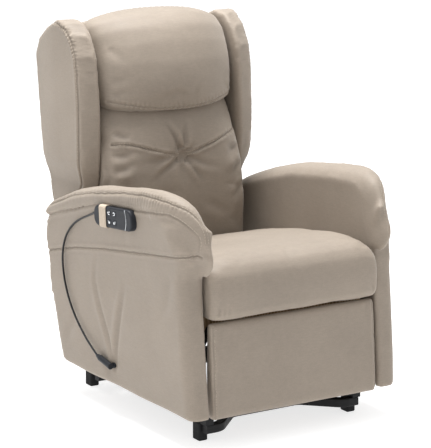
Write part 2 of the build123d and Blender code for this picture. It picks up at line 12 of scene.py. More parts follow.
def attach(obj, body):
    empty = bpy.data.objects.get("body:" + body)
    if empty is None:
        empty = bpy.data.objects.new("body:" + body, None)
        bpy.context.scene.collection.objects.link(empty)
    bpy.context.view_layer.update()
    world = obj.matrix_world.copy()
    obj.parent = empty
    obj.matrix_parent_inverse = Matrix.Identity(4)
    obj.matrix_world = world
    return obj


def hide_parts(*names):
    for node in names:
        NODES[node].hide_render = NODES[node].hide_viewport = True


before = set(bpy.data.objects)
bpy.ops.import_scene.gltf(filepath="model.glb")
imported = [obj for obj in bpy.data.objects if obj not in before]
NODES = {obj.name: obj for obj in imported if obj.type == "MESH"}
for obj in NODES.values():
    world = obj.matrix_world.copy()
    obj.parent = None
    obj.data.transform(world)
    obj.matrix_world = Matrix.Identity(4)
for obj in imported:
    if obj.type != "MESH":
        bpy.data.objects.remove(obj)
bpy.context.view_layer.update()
rng = np.random.default_rng(7)
FRONT_Y = -452.0            # foot of the arm fronts, mm
UPHOLSTERY_COLOUR = (0.300, 0.251, 0.203)
LOOK_AT = (-0.0542, -0.1185, 0.5311)


def at(x, depth, height):
    """Row-frame point in metres from mm: side, depth behind the arm fronts, height."""
    return Vector((x, depth + FRONT_Y, height)) / 1000


def add(name, data):
    """A new object in the scene."""
    made = bpy.data.objects.new(name, data)
    bpy.context.scene.collection.objects.link(made)
    return made


# ---- camera ------------------------------------------------------------------------------
camera = add("camera", bpy.data.cameras.new("camera"))
camera.location = (-3.063, -4.915, 1.766)
look = Vector(LOOK_AT) - camera.location
camera.rotation_euler = look.to_track_quat("-Z", "Y").to_euler()
camera.data.lens = 167.06
camera.data.sensor_width = 36
camera.data.clip_start, camera.data.clip_end = 0.1, 120
bpy.context.scene.camera = camera


# ---- materials ---------------------------------------------------------------------------
def material(name, base, roughness, **sockets):
    """A new Principled material with its constant sockets set, and handles to its nodes."""
    made = bpy.data.materials.new(name)
    made.use_nodes = True
    shader = made.node_tree.nodes["Principled BSDF"]
    shader.inputs["Base Color"].default_value = (*base, 1)
    shader.inputs["Roughness"].default_value = roughness
    for socket, value in sockets.items():
        shader.inputs[socket.replace("_", " ")].default_value = value
    return made, made.node_tree, shader


def texture(tree, kind, scale, source, **values):
    node = tree.nodes.new(kind)
    tree.links.new(source, node.inputs["Vector"])
    node.inputs["Scale"].default_value = scale
    for socket, value in values.items():
        node.inputs[socket].default_value = value
    return node


def ramp(tree, factor, low, high, low_at=0.3, high_at=0.7):
    node = tree.nodes.new("ShaderNodeValToRGB")
    tree.links.new(factor, node.inputs["Fac"])
    first, last = node.color_ramp.elements
    first.position, last.position = low_at, high_at
    first.color = (*low, 1) if len(low) == 3 else (low[0], low[0], low[0], 1)
    last.color = (*high, 1) if len(high) == 3 else (high[0], high[0], high[0], 1)
    return node.outputs["Color"]


def mix(tree, a, b, factor, blend="MIX"):
    node = tree.nodes.new("ShaderNodeMix")
    node.data_type = "RGBA"
    node.blend_type = blend
    for socket, value in ((node.inputs[6], a), (node.inputs[7], b), (node.inputs[0], factor)):
        if isinstance(value, (float, int)):
            socket.default_value = value
        elif isinstance(value, tuple):
            socket.default_value = (*value, 1)
        else:
            tree.links.new(value, socket)
    return node.outputs[2]


def bump(tree, shader, layers):
    """Chains bump nodes: layers of (height output, strength, distance in metres)."""
    last = None
    for height, strength, distance in layers:
        node = tree.nodes.new("ShaderNodeBump")
        node.inputs["Strength"].default_value = strength
        node.inputs["Distance"].default_value = distance
        tree.links.new(height, node.inputs["Height"])
        if last is not None:
            tree.links.new(last, node.inputs["Normal"])
        last = node.outputs["Normal"]
    tree.links.new(last, shader.inputs["Normal"])


def object_space(tree, stretch=(1, 1, 1)):
    coordinates = tree.nodes.new("ShaderNodeTexCoord")
    mapping = tree.nodes.new("ShaderNodeMapping")
    mapping.inputs["Scale"].default_value = stretch
    tree.links.new(coordinates.outputs["Object"], mapping.inputs["Vector"])
    return mapping.outputs["Vector"]


def upholstery(name, tone=1.0):
    """Beige microfibre leather: fine grain, soft nap mottling, painted shade in seam grooves,
    creases and hollows, and lighter worn ridges.
    """
    base = tuple(c * tone for c in UPHOLSTERY_COLOUR)
    made, tree, shader = material(name, base, 0.6)
    shader.inputs["Sheen Weight"].default_value = 0.22
    shader.inputs["Sheen Roughness"].default_value = 0.45
    shader.inputs["Sheen Tint"].default_value = (0.95, 0.9, 0.84, 1)
    shader.inputs["Specular IOR Level"].default_value = 0.32
    where = object_space(tree)
    mottle = texture(tree, "ShaderNodeTexNoise", 5.5, where, Detail=5, Roughness=0.6)
    nap = texture(tree, "ShaderNodeTexNoise", 60, where, Detail=4, Roughness=0.65)
    grain = texture(tree, "ShaderNodeTexVoronoi", 620, where)
    grain.feature = "DISTANCE_TO_EDGE"
    thread = texture(tree, "ShaderNodeTexNoise", 900, object_space(tree, (1, 1, 0.25)), Detail=2)
    ribs = texture(tree, "ShaderNodeTexNoise", 60, object_space(tree, (1, 1, 9)), Detail=3)
    dark, light = tuple(c * 0.95 for c in base), tuple(c * 1.05 for c in base)
    colour = ramp(tree, mottle.outputs["Fac"], dark, light, 0.32, 0.68)
    flecks = ramp(tree, nap.outputs["Fac"], (0.965,), (1.03,), 0.35, 0.65)
    colour = mix(tree, colour, ramp(tree, ribs.outputs["Fac"], (0.95,), (1.04,)), 1.0, "MULTIPLY")
    colour = mix(tree, colour, flecks, 1.0, "MULTIPLY")
    weave = ramp(tree, thread.outputs["Fac"], (0.95,), (1.04,), 0.4, 0.6)
    colour = mix(tree, colour, weave, 0.8, "MULTIPLY")
    # Curvature tone: painted shade darkens seam grooves, creases and other hollows; convex ridges
    # turn lighter where the nap wears.
    edge = tree.nodes.new("ShaderNodeNewGeometry").outputs["Pointiness"]
    worn = ramp(tree, edge, (0.66,), (1.10,), 0.44, 0.56)
    colour = mix(tree, colour, worn, 0.75, "MULTIPLY")
    tree.links.new(colour, shader.inputs["Base Color"])
    tree.links.new(ramp(tree, nap.outputs["Fac"], (0.52,), (0.7,)), shader.inputs["Roughness"])
    bump(tree, shader, [(mottle.outputs["Fac"], 0.12, 0.004), (ribs.outputs["Fac"], 0.2, 0.0008),
                        (nap.outputs["Fac"], 0.18, 0.0012),
                        (grain.outputs["Distance"], 0.35, 0.0005)])
    return made


def steel(name, base, roughness, metallic, speck):
    """Powder-coated or bare steel with orange peel, dust, fine scratches, lighter worn edges and
    painted shade in hollows.
    """
    made, tree, shader = material(name, base, roughness, Metallic=metallic,
                                  Specular_IOR_Level=0.2 + 0.3 * metallic)
    where = object_space(tree)
    peel = texture(tree, "ShaderNodeTexNoise", 420, where, Detail=2)
    dust = texture(tree, "ShaderNodeTexNoise", 14, where, Detail=6, Roughness=0.7)
    scratch = texture(tree, "ShaderNodeTexNoise", 160, object_space(tree, (1, 0.05, 1)), Detail=3)
    colour = ramp(tree, dust.outputs["Fac"], tuple(c * 0.85 for c in base),
                  tuple(min(1, c * 1.1 + speck) for c in base), 0.35, 0.75)
    # Curvature tone: lighter where edges wear, painted shade darkening the hollows.
    edge = tree.nodes.new("ShaderNodeNewGeometry").outputs["Pointiness"]
    edge_wear_and_hollow_shade = ramp(tree, edge, (0.8,), (1.35,), 0.46, 0.6)
    tree.links.new(mix(tree, colour, edge_wear_and_hollow_shade, 1.0, "MULTIPLY"), shader.inputs["Base Color"])
    tree.links.new(ramp(tree, scratch.outputs["Fac"], (roughness * 0.8,), (roughness * 1.25,)),
                   shader.inputs["Roughness"])
    bump(tree, shader, [(peel.outputs["Fac"], 0.25, 0.0003), (scratch.outputs["Fac"], 0.1, 0.0002)])
    return made


def wood(name):
    """Pale plywood and softwood with grain along Y and growth rings."""
    made, tree, shader = material(name, (0.46, 0.32, 0.19), 0.6)
    where = object_space(tree, (14, 1.6, 14))
    rings = tree.nodes.new("ShaderNodeTexWave")
    tree.links.new(where, rings.inputs["Vector"])
    rings.inputs["Scale"].default_value = 2.2
    rings.inputs["Distortion"].default_value = 6
    rings.inputs["Detail"].default_value = 3
    fibre = texture(tree, "ShaderNodeTexNoise", 40, where, Detail=5)
    colour = ramp(tree, rings.outputs["Fac"], (0.34, 0.22, 0.12), (0.56, 0.41, 0.26), 0.1, 0.9)
    colour = mix(tree, colour, ramp(tree, fibre.outputs["Fac"], (0.82,), (1.1,)), 1.0, "MULTIPLY")
    tree.links.new(colour, shader.inputs["Base Color"])
    tree.links.new(ramp(tree, fibre.outputs["Fac"], (0.5,), (0.72,)), shader.inputs["Roughness"])
    bump(tree, shader, [(fibre.outputs["Fac"], 0.3, 0.0006)])
    return made


def plastic(name, base, roughness, grain_scale, coat=0.0):
    """Moulded plastic or rubber with a fine spark-eroded texture and handling marks."""
    made, tree, shader = material(name, base, roughness, Specular_IOR_Level=0.2)
    shader.inputs["Coat Weight"].default_value = coat
    where = object_space(tree)
    grain = texture(tree, "ShaderNodeTexNoise", grain_scale, where, Detail=3, Roughness=0.6)
    marks = texture(tree, "ShaderNodeTexNoise", 35, where, Detail=5, Roughness=0.7)
    tree.links.new(ramp(tree, marks.outputs["Fac"], tuple(c * 0.85 for c in base),
                        tuple(c * 1.2 for c in base)), shader.inputs["Base Color"])
    worn = ramp(tree, marks.outputs["Fac"], (roughness * 0.85,), (min(1, roughness * 1.2),))
    tree.links.new(worn, shader.inputs["Roughness"])
    bump(tree, shader, [(grain.outputs["Fac"], 0.22, 0.0003)])
    return made


def webbing(name, base):
    """Ribbed woven tape."""
    made, tree, shader = material(name, base, 0.8)
    where = object_space(tree)
    ribs = tree.nodes.new("ShaderNodeTexWave")
    tree.links.new(where, ribs.inputs["Vector"])
    ribs.bands_direction = "Y"
    ribs.inputs["Scale"].default_value = 160
    ribs.inputs["Distortion"].default_value = 0.6
    fuzz = texture(tree, "ShaderNodeTexNoise", 300, where, Detail=3)
    colour = ramp(tree, ribs.outputs["Fac"], tuple(c * 0.8 for c in base), base, 0.2, 0.7)
    colour = mix(tree, colour, ramp(tree, fuzz.outputs["Fac"], (0.88,), (1.08,)), 1.0, "MULTIPLY")
    tree.links.new(colour, shader.inputs["Base Color"])
    tree.links.new(ramp(tree, fuzz.outputs["Fac"], (0.7,), (0.9,)), shader.inputs["Roughness"])
    bump(tree, shader, [(ribs.outputs["Fac"], 0.4, 0.0005), (fuzz.outputs["Fac"], 0.2, 0.0003)])
    return made


LEATHER = upholstery("upholstery_beige")
LEATHER_BACK = upholstery("upholstery_back", 0.97)
THREAD = webbing("stitching", (0.50, 0.43, 0.35))
STRAP = webbing("strap_tape", (0.56, 0.47, 0.37))
FELT = webbing("deck_felt", (0.045, 0.045, 0.05))
PAINT = steel("painted_steel", (0.010, 0.010, 0.011), 0.5, 0.0, 0.004)
BRIGHT = steel("rod_steel", (0.62, 0.63, 0.65), 0.22, 1.0, 0.05)
SPRING = steel("spring_wire", (0.30, 0.29, 0.27), 0.38, 0.9, 0.05)
WOOD = wood("frame_wood")
DARK = plastic("dark_plastic", (0.022, 0.024, 0.028), 0.42, 900)
HANDSET = plastic("handset_plastic", (0.020, 0.022, 0.027), 0.5, 1400, 0.05)
BUTTON = plastic("button_rubber", (0.022, 0.024, 0.029), 0.55, 1100)
RUBBER = plastic("foot_rubber", (0.016, 0.016, 0.017), 0.75, 700)
CORD = plastic("cord_rubber", (0.012, 0.012, 0.013), 0.4, 1200, 0.15)
ICON = plastic("icon_print", (0.86, 0.88, 0.90), 0.5, 1500)
SILVER = steel("silver_trim", (0.66, 0.68, 0.70), 0.3, 0.85, 0.04)

BY_SLOT = {"painted_steel": PAINT, "wood_frame": WOOD, "dark_plastic": DARK, "foot_rubber": RUBBER,
           "spring_wire": SPRING, "deck_felt": FELT, "cord_rubber": CORD, "strap_fabric": STRAP,
           "rod_steel": BRIGHT, "upholstery": LEATHER_BACK}


def paint(obj, finish):
    obj.data.materials.clear()
    obj.data.materials.append(finish)


for cad_node in NODES.values():
    slot_name = cad_node.data.materials[0].name.split(".")[0]
    paint(cad_node, BY_SLOT[slot_name])
for cad_name, finish in (("handset_back_shell", HANDSET), ("handset_front_shell", HANDSET),
                         ("button_feet_up", BUTTON), ("button_feet_down", BUTTON),
                         ("button_back_up", BUTTON), ("button_back_down", BUTTON),
                         ("cord_plug", DARK), ("cord_socket", DARK)):
    paint(NODES[cad_name], finish)

# ---- the handset's cord --------------------------------------------------------------------
CORD_POINTS = [(-0.357, 0.0316, 0.5700), (-0.353, 0.068, 0.556), (-0.353, 0.123, 0.536),
               (-0.353, 0.176, 0.506), (-0.353, 0.216, 0.462), (-0.353, 0.232, 0.408),
               (-0.353, 0.224, 0.350), (-0.353, 0.200, 0.296), (-0.353, 0.162, 0.248),
               (-0.353, 0.116, 0.210), (-0.353, 0.074, 0.182), (-0.352, 0.032, 0.160)]
cord_curve = bpy.data.curves.new("handset_lead", "CURVE")
cord_curve.dimensions = "3D"
cord_curve.bevel_depth = 0.003
cord_curve.bevel_resolution = 4
cord_curve.resolution_u = 16
cord_curve.use_fill_caps = True
line = cord_curve.splines.new("NURBS")
line.points.add(len(CORD_POINTS) - 1)
for point, where in zip(line.points, CORD_POINTS):
    point.co = (*where, 1)
line.order_u = 3
line.use_endpoint_u = True
lead = add("handset_lead", cord_curve)
lead.data.materials.append(CORD)
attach(lead, "chassis")
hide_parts("handset_cord")


# ---- soft forms ------------------------------------------------------------------------------
def run_lengths(points):
    """Distance along a line at each of its points."""
    steps = np.linalg.norm(np.diff(points, axis=0), axis=1)
    return np.concatenate([[0], np.cumsum(steps)])


def tree_of_points(points):
    tree = KDTree(len(points))
    for i, point in enumerate(points):
        tree.insert(point, i)
    tree.balance()
    return tree


def soft_line(points, closed=False, step=5.0, radius=12.0):
    """Even samples along straight runs, with the corners eased over about a radius."""
    p = np.array(points, float)
    if closed:
        p = np.vstack([p, p[:1]])
    length = run_lengths(p)
    count = max(4, int(length[-1] / step))
    s = np.linspace(0, length[-1], count + 1)
    out = np.stack([np.interp(s, length, p[:, k]) for k in range(p.shape[1])], 1)
    if closed:
        out = out[:-1]
    for _ in range(int((radius / step) ** 2)):
        if closed:
            out = (np.roll(out, 1, 0) + 2 * out + np.roll(out, -1, 0)) / 4
        else:
            out[1:-1] = (out[:-2] + 2 * out[1:-1] + out[2:]) / 4
    return out


def tube_of(rings):
    """Closed shell through rings of equal length: vertices and faces."""
    n = len(rings[0])
    verts = np.vstack(rings)
    faces = [(r * n + i, r * n + (i + 1) % n, (r + 1) * n + (i + 1) % n, (r + 1) * n + i)
             for r in range(len(rings) - 1) for i in range(n)]
    faces.append(tuple(range(n))[::-1])
    faces.append(tuple((len(rings) - 1) * n + i for i in range(n)))
    return verts, faces


def rim(low, high, radius, steps=6):
    """(x, inset) stations of a slab from low to high whose side edges are rounded."""
    turn = [radius * (1 - math.cos(i / steps * math.pi / 2)) for i in range(steps + 1)]
    drop = [radius * (1 - math.sin(i / steps * math.pi / 2)) for i in range(steps + 1)]
    side = list(zip(turn, drop))
    return [(low + t, d) for t, d in side] + [(high - t, d) for t, d in reversed(side)]


def slab(outline, stations, radius=12.0):
    """Shell of a (depth, height) outline through (x, inset) stations."""
    line = soft_line(outline, True, 6.0, radius)
    ahead, behind = np.roll(line, -1, 0), np.roll(line, 1, 0)
    tangent = ahead - behind
    tangent /= np.linalg.norm(tangent, axis=1)[:, None]
    area = np.sum(line[:, 0] * ahead[:, 1] - ahead[:, 0] * line[:, 1])
    inward = np.stack([-tangent[:, 1], tangent[:, 0]], 1) * (1 if area > 0 else -1)
    rings = []
    for x, inset in stations:
        ring = line + inward * inset
        rings.append(np.column_stack([np.full(len(ring), x), ring]))
    return tube_of(rings)


class Soft:
    """One soft piece as a dense mesh in mm (side, depth, height), shaped by vertex moves."""

    def __init__(self, name, shells, voxel=7.0, smooth=8):
        verts, faces, first = [], [], 0
        for shell_verts, shell_faces in shells:
            verts.append(shell_verts)
            faces += [tuple(first + i for i in face) for face in shell_faces]
            first += len(shell_verts)
        co = np.vstack(verts)
        rough = bpy.data.meshes.new(name + "_rough")
        rough.from_pydata(self.to_metres(co).tolist(), [], faces)
        b = bmesh.new()
        b.from_mesh(rough)
        bmesh.ops.recalc_face_normals(b, faces=b.faces)
        bmesh.ops.triangulate(b, faces=[f for f in b.faces if len(f.verts) > 4])
        b.to_mesh(rough)
        b.free()
        holder = add(name + "_rough", rough)
        modifier = holder.modifiers.new("voxels", "REMESH")
        modifier.mode = "VOXEL"
        modifier.voxel_size = voxel / 1000
        graph = bpy.context.evaluated_depsgraph_get()
        self.mesh = bpy.data.meshes.new_from_object(holder.evaluated_get(graph))
        self.mesh.name = name
        bpy.data.objects.remove(holder)
        bpy.data.meshes.remove(rough)
        self.name = name
        self.obj = add(name, self.mesh)
        self.read()
        self.relax(smooth)

    @staticmethod
    def to_metres(co):
        return (co + np.array([0, FRONT_Y, 0])) / 1000

    def read(self):
        co = np.empty(len(self.mesh.vertices) * 3)
        self.mesh.vertices.foreach_get("co", co)
        self.co = co.reshape(-1, 3) * 1000 - np.array([0, FRONT_Y, 0])
        edges = np.empty(len(self.mesh.edges) * 2, int)
        self.mesh.edges.foreach_get("vertices", edges)
        self.edges = edges.reshape(-1, 2)

    def write(self):
        self.mesh.vertices.foreach_set("co", self.to_metres(self.co).ravel())
        self.mesh.update()

    def normals(self):
        self.write()
        n = np.empty(len(self.mesh.vertices) * 3)
        self.mesh.vertex_normals.foreach_get("vector", n)
        return n.reshape(-1, 3)

    def relax(self, rounds, weight=None, back=-0.52):
        """Smoothing that keeps the volume (or rounds off, with back > 0), where weight is."""
        a, b = self.edges[:, 0], self.edges[:, 1]
        count = np.bincount(self.edges.ravel(), minlength=len(self.co))[:, None]
        for i in range(rounds * 2):
            total = np.zeros_like(self.co)
            np.add.at(total, a, self.co[b])
            np.add.at(total, b, self.co[a])
            move = (total / np.maximum(count, 1) - self.co) * (0.5 if i % 2 == 0 else back)
            self.co += move if weight is None else move * weight[:, None]

    def on_surface(self, path, step=2.5, radius=8.0):
        """Path samples snapped to the piece's surface, in mm."""
        self.write()
        tree = tree_of_points(self.co)
        line = soft_line(path, False, step, radius)
        snapped = []
        for p in line:
            near = tree.find_n(p, 6)
            weights = [1 / (d + 0.5) for _, _, d in near]
            snapped.append(sum((np.array(c) * w for (c, _, _), w in zip(near, weights)),
                               np.zeros(3)) / sum(weights))
        snapped = np.array(snapped)
        for _ in range(6):
            snapped[1:-1] = (snapped[:-2] + 2 * snapped[1:-1] + snapped[2:]) / 4
        return snapped

    def measure(self, line):
        """Distance, position along the line, its length and side of each vertex."""
        tree = tree_of_points(line)
        s_at = run_lengths(line)
        low, high = line.min(0) - 90, line.max(0) + 90
        near = np.all((self.co > low) & (self.co < high), axis=1)
        dist = np.full(len(self.co), 1e3)
        where = np.zeros(len(self.co))
        index = np.zeros(len(self.co), int)
        for v in np.nonzero(near)[0]:
            _, i, d = tree.find(self.co[v])
            dist[v], where[v], index[v] = d, s_at[i], i
        tangent = np.gradient(line, axis=0)
        tangent /= np.maximum(np.linalg.norm(tangent, axis=1), 1e-9)[:, None]
        side = np.sign(np.einsum("ij,ij->i", np.cross(tangent[index], self.normals()),
                                 self.co - line[index]))
        return dist, where, s_at[-1], side

    def refine(self, lines, reach, times=1):
        """Halves the faces near the lines."""
        for k in range(times):
            near = np.zeros(len(self.co), bool)
            for line in lines:
                near |= self.measure(line)[0] < reach / (k + 1) ** 0.5
            self.write()
            b = bmesh.new()
            b.from_mesh(self.mesh)
            edges = [e for e in b.edges if near[e.verts[0].index] and near[e.verts[1].index]]
            bmesh.ops.subdivide_edges(b, edges=edges, cuts=1, use_grid_fill=True, smooth=0.3)
            b.to_mesh(self.mesh)
            b.free()
            self.read()

    def push(self, amount):
        self.co += self.normals() * amount[:, None]

    def seam(self, line, depth=2.6, width=3.2, lip=1.3, reach=9.0, flat_from=2.0):
        """A sewn seam: a sunk line with the filling swelling each side. It dies away past the
        share flat_from of its length, or runs its whole length when flat_from is over 1."""
        dist, where, total, _ = self.measure(line)
        lip = lip * np.clip(1 - (where / total - flat_from) / 0.12, 0.15, 1)
        if flat_from < 1:
            depth = depth * np.clip((1 - where / total) / 0.1, 0, 1)
        self.push(-depth * np.exp(-(dist / width) ** 2)
                  + lip * np.exp(-((dist - reach) / (reach * 0.55)) ** 2) * (dist < 60))

    def gathers(self, line, start, end, amount=1.6, spacing=10.0, reach=26.0, lean=0.25):
        """Pleats across a seam between two shares of its length."""
        dist, where, total, _ = self.measure(line)
        share = where / total
        fade = np.clip((share - start) / 0.12, 0, 1) * np.clip((end - share) / 0.12, 0, 1)
        knots = np.arange(0, total + 30, 30)
        jitter = np.interp(where, knots, rng.uniform(-1.6, 1.6, len(knots)))
        knots = np.arange(0, total + 22, 22)
        strength = np.interp(where, knots, rng.uniform(0.35, 1.0, len(knots)))
        wave = np.cos(2 * math.pi * (where + lean * dist) / spacing + jitter)
        wave = np.where(wave > 0, wave * 0.7, wave)
        shape = np.exp(-(dist / reach) ** 1.5) * np.clip(dist / 3.0, 0, 1)
        self.push(amount * wave * strength * fade * shape)

    def crease(self, path, depth=3.0, width=6.0, ridge=0.6, fade=(0.15, 0.4)):
        """A fold in the cloth that fades at its ends, with a soft ridge on one side."""
        line = self.on_surface(path)
        dist, where, total, sign = self.measure(line)
        share = where / total
        window = np.clip(share / fade[0], 0, 1) * np.clip((1 - share) / fade[1], 0, 1)
        across = sign * dist
        self.push(window * (-depth * np.exp(-(dist / width) ** 2)
                            + depth * ridge * np.exp(-((across - 1.9 * width)
                                                       / (1.3 * width)) ** 2)) * (dist < 80))

    def dimple(self, point, depth, radius):
        dist = np.linalg.norm(self.co - np.array(point, float), axis=1)
        self.push(-depth * np.exp(-(dist / radius) ** 1.6))

    def waves(self, amount, size, seed=0):
        """Slow unevenness of stuffing under the cover."""
        field = np.random.default_rng(seed)
        total = np.zeros(len(self.co))
        for _ in range(14):
            direction = field.normal(size=3)
            direction /= np.linalg.norm(direction)
            total += np.cos(self.co @ direction * 2 * math.pi / (size * field.uniform(0.6, 1.7))
                            + field.uniform(0, 6.3))
        self.push(total * amount / 4)

    def inflate(self, cap, pressure=4.0, frames=20, stiff=12.0):
        """Cloth with air pressure inside, kept within cap mm of where it started."""
        self.write()
        before = self.co.copy()
        cloth = self.obj.modifiers.new("cloth", "CLOTH")
        cloth.settings.quality = 4
        cloth.settings.use_pressure = True
        cloth.settings.uniform_pressure_force = pressure
        cloth.settings.effector_weights.gravity = 0
        cloth.settings.tension_stiffness = stiff
        cloth.settings.compression_stiffness = stiff
        cloth.settings.bending_stiffness = 0.6
        cloth.point_cache.frame_start, cloth.point_cache.frame_end = 1, frames
        scene = bpy.context.scene
        for number in range(1, frames + 1):
            scene.frame_set(number)
        graph = bpy.context.evaluated_depsgraph_get()
        moved = self.obj.evaluated_get(graph).to_mesh()
        after = np.empty(len(moved.vertices) * 3)
        moved.vertices.foreach_get("co", after)
        self.obj.modifiers.remove(cloth)
        scene.frame_set(1)
        after = after.reshape(-1, 3) * 1000 - np.array([0, FRONT_Y, 0])
        move = after - before
        size = np.linalg.norm(move, axis=1)
        move *= (np.minimum(size, cap) / np.maximum(size, 1e-6))[:, None]
        self.co = before + move
        self.relax(2)

    def mirror(self, threads):
        """Turns the piece and its stitching into the ones for the other side."""
        self.co[:, 0] *= -1
        self.mesh.flip_normals()
        for thread in threads:
            for v in thread.data.vertices:
                v.co.x *= -1
            thread.data.flip_normals()

    def finish(self, body, replaced, fill, finish=None):
        self.write()
        self.mesh.polygons.foreach_set("use_smooth", [True] * len(self.mesh.polygons))
        self.mesh.update()
        paint(self.obj, finish or LEATHER)
        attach(self.obj, body)
        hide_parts(*replaced)


def stitches(name, soft, line, body, offsets=(-4.5, 4.5), pitch=7.0, length=4.4, radius=0.55):
    """Rows of topstitching beside a seam, each stitch a short thread on the surface."""
    normals = soft.normals()
    tree = tree_of_points(soft.co)
    s_at = run_lengths(line)
    tangent = np.gradient(line, axis=0)
    verts, faces = [], []
    for offset in offsets:
        for s in np.arange(pitch, s_at[-1] - pitch, pitch):
            i = min(int(np.searchsorted(s_at, s)), len(line) - 1)
            along = Vector(tangent[i]).normalized()
            _, near, _ = tree.find(line[i])
            normal = Vector(normals[near])
            beside = along.cross(normal).normalized()
            guess = Vector(line[i]) + beside * offset
            ends = []
            for half in (-0.5, 0.5):
                spot = guess + along * (half * length)
                c, near, _ = tree.find(spot)
                normal = Vector(normals[near])
                spot += normal * ((c - spot).dot(normal) + radius * 0.35)
                ends.append((spot, normal))
            first = len(verts)
            for (spot, normal), grow, shift in ((ends[0], 0.35, -0.5), (ends[0], 1.0, 0),
                                                (ends[1], 1.0, 0), (ends[1], 0.35, 0.5)):
                for k in range(5):
                    turn = k * 2 * math.pi / 5
                    verts.append(tuple(spot + along * shift + (beside * math.cos(turn)
                                       + normal * math.sin(turn)) * radius * grow))
            for ring in range(3):
                for k in range(5):
                    a, c = first + ring * 5 + k, first + ring * 5 + (k + 1) % 5
                    faces.append((a, c, c + 5, a + 5))
            faces.append(tuple(first + k for k in range(4, -1, -1)))
            faces.append(tuple(first + 15 + k for k in range(5)))
    mesh = bpy.data.meshes.new(name)
    mesh.from_pydata(Soft.to_metres(np.array(verts)).tolist(), [], faces)
    thread = add(name, mesh)
    mesh.polygons.foreach_set("use_smooth", [True] * len(mesh.polygons))
    paint(thread, THREAD)
    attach(thread, body)
    return thread


# ---- arms: side cover, pad and inner panel as one upholstered body ---------------------------
ARM_CREST = [(776, 540), (736, 566), (600, 614), (440, 652), (250, 678), (110, 685), (40, 683),
             (-20, 667), (-52, 634), (-62, 585), (-53, 530), (-22, 487), (8, 472)]
ARM_UNDER = [(768, 510), (750, 518), (602, 563), (456, 604), (290, 621), (160, 626), (95, 616),
             (62, 600), (57, 575), (54, 548), (50, 512), (44, 486), (34, 476)]
PAD_WIDTH = [1, 1, 1, 1, 1, 1, 1, 1, 0.9, 0.6, 0.4, 0.27, 0.2]   # share of the arm's width
PAD_PROFILE = [(350, 0.0), (357, 0.06), (360.5, 0.28), (360, 0.52), (356.5, 0.74), (350, 0.9),
               (341.5, 0.98), (332, 1.0), (318, 0.96), (304, 0.87), (291.5, 0.73), (282, 0.52),
               (276.5, 0.29), (274.8, 0.06), (288, -0.03), (320, -0.03)]
ARM_PANEL = [(30, 300), (48, 440), (42, 490), (30, 540), (26, 585), (56, 630), (112, 650),
             (183, 650), (290, 642), (456, 622), (602, 582), (750, 528), (780, 440), (690, 300)]
COVER_REAR = [(88, 713), (188, 742), (287, 769), (440, 796), (494, 786), (620, 770)]
COVER_FRONT = [(88, 0.2), (250, 17.7), (420, 36), (460, 36), (500, 24), (540, 0), (575, -45),
               (610, -56)]
COVER_SIDE = [(88, 337), (250, 341), (400, 344), (500, 348), (560, 353), (620, 357)]
COVER_TOP = [(-40, 604), (60, 610), (110, 618), (183, 622), (290, 616), (456, 598), (602, 558),
             (768, 508), (800, 500)]


def ease(t):
    """0 to 1 with soft ends."""
    t = np.clip(t, 0, 1)
    return t * t * (3 - 2 * t)


def table_of(points):
    keys, values = zip(*points)
    return lambda v: np.interp(v, keys, values)


def arm_shells():
    """Pad, L-shaped side cover and inner panel of an arm, before they are merged."""
    joined = np.column_stack([ARM_CREST, ARM_UNDER, np.array(PAD_WIDTH) * 60])
    rows = soft_line(joined, False, 9.0, 22.0)
    rings = []
    for crest_d, crest_z, under_d, under_z, width in rows:
        ring = [(274 + (x - 274) * width / 60, under_d + (crest_d - under_d) * s,
                 under_z + (crest_z - under_z) * s)
                for x, s in soft_line(np.array(PAD_PROFILE) * (1, 60), True, 5, 5) / (1, 60)]
        rings.append(np.array(ring))
    pad = tube_of(rings)

    rear, front, side, top = (table_of(t) for t in (COVER_REAR, COVER_FRONT, COVER_SIDE, COVER_TOP))
    corner = 30.0
    # Section: (1 where x counts from the outer face, x, set-back of the front, share of the
    # way to the rear)
    section = [(1, 0, 0, b) for b in np.linspace(1, 0.055, 30)]
    section += [(1, -corner * (1 - math.cos(a)), corner * (1 - math.sin(a)), 0)
                for a in np.linspace(0, math.pi / 2, 7)]
    section += [(0, x, 0, 0) for x in (300, 290)]
    section += [(0, 280, 3, 0), (0, 277, 8, 0), (0, 277, 24, 0), (0, 318.5, 24, 0)]
    section += [(0, 318.5, 0, b) for b in np.linspace(0.055, 1, 30)]
    rings = []
    for t in np.linspace(0, 1, 26):
        ring = []
        for outer, x, a, b in section:
            z = 88 + 500 * t
            for _ in range(3):
                d = (1 - b) * (front(z) + a) + b * rear(z)
                z = 88 + (top(d) - 88) * t
            crown = 3.5 * math.sin(math.pi * min(1, (z - 88) / 330)) if z < 418 else 0
            ring.append((x + outer * (side(z) + crown), d, z))
        rings.append(np.array(ring))
    cover = tube_of(rings)
    panel = slab(ARM_PANEL, [(276.5, 0), (292, 0)], 6)
    return [pad, cover, panel]


GATHER_SEAM = [(352, 790, 530), (356, 686, 568), (355, 600, 597), (354, 485, 624), (353, 328, 650),
               (353, 221, 663), (352, 110, 667), (348, 76, 664), (336, 56, 658), (320, 34, 648),
               (308, 6, 631), (300, -6, 607), (298, -11, 580), (297, -11, 562)]
LOWER_SEAM = [(355, 788, 500), (356, 757, 514), (357, 694, 535), (357, 616, 557), (358, 456, 600),
              (358, 255, 616), (358, 160, 628), (355, 105, 633), (346, 68, 629), (333, 46, 619),
              (316, 24, 602), (309, 4, 584), (305, 0, 560), (303, 2, 540)]
SIDE_SEAM = [(346, 792, 402), (347, 620, 445), (347, 441, 475), (348, 205, 507), (349, 50, 527),
             (344, 24, 533), (330, 8, 536), (314, 0, 537), (303, -6, 538)]


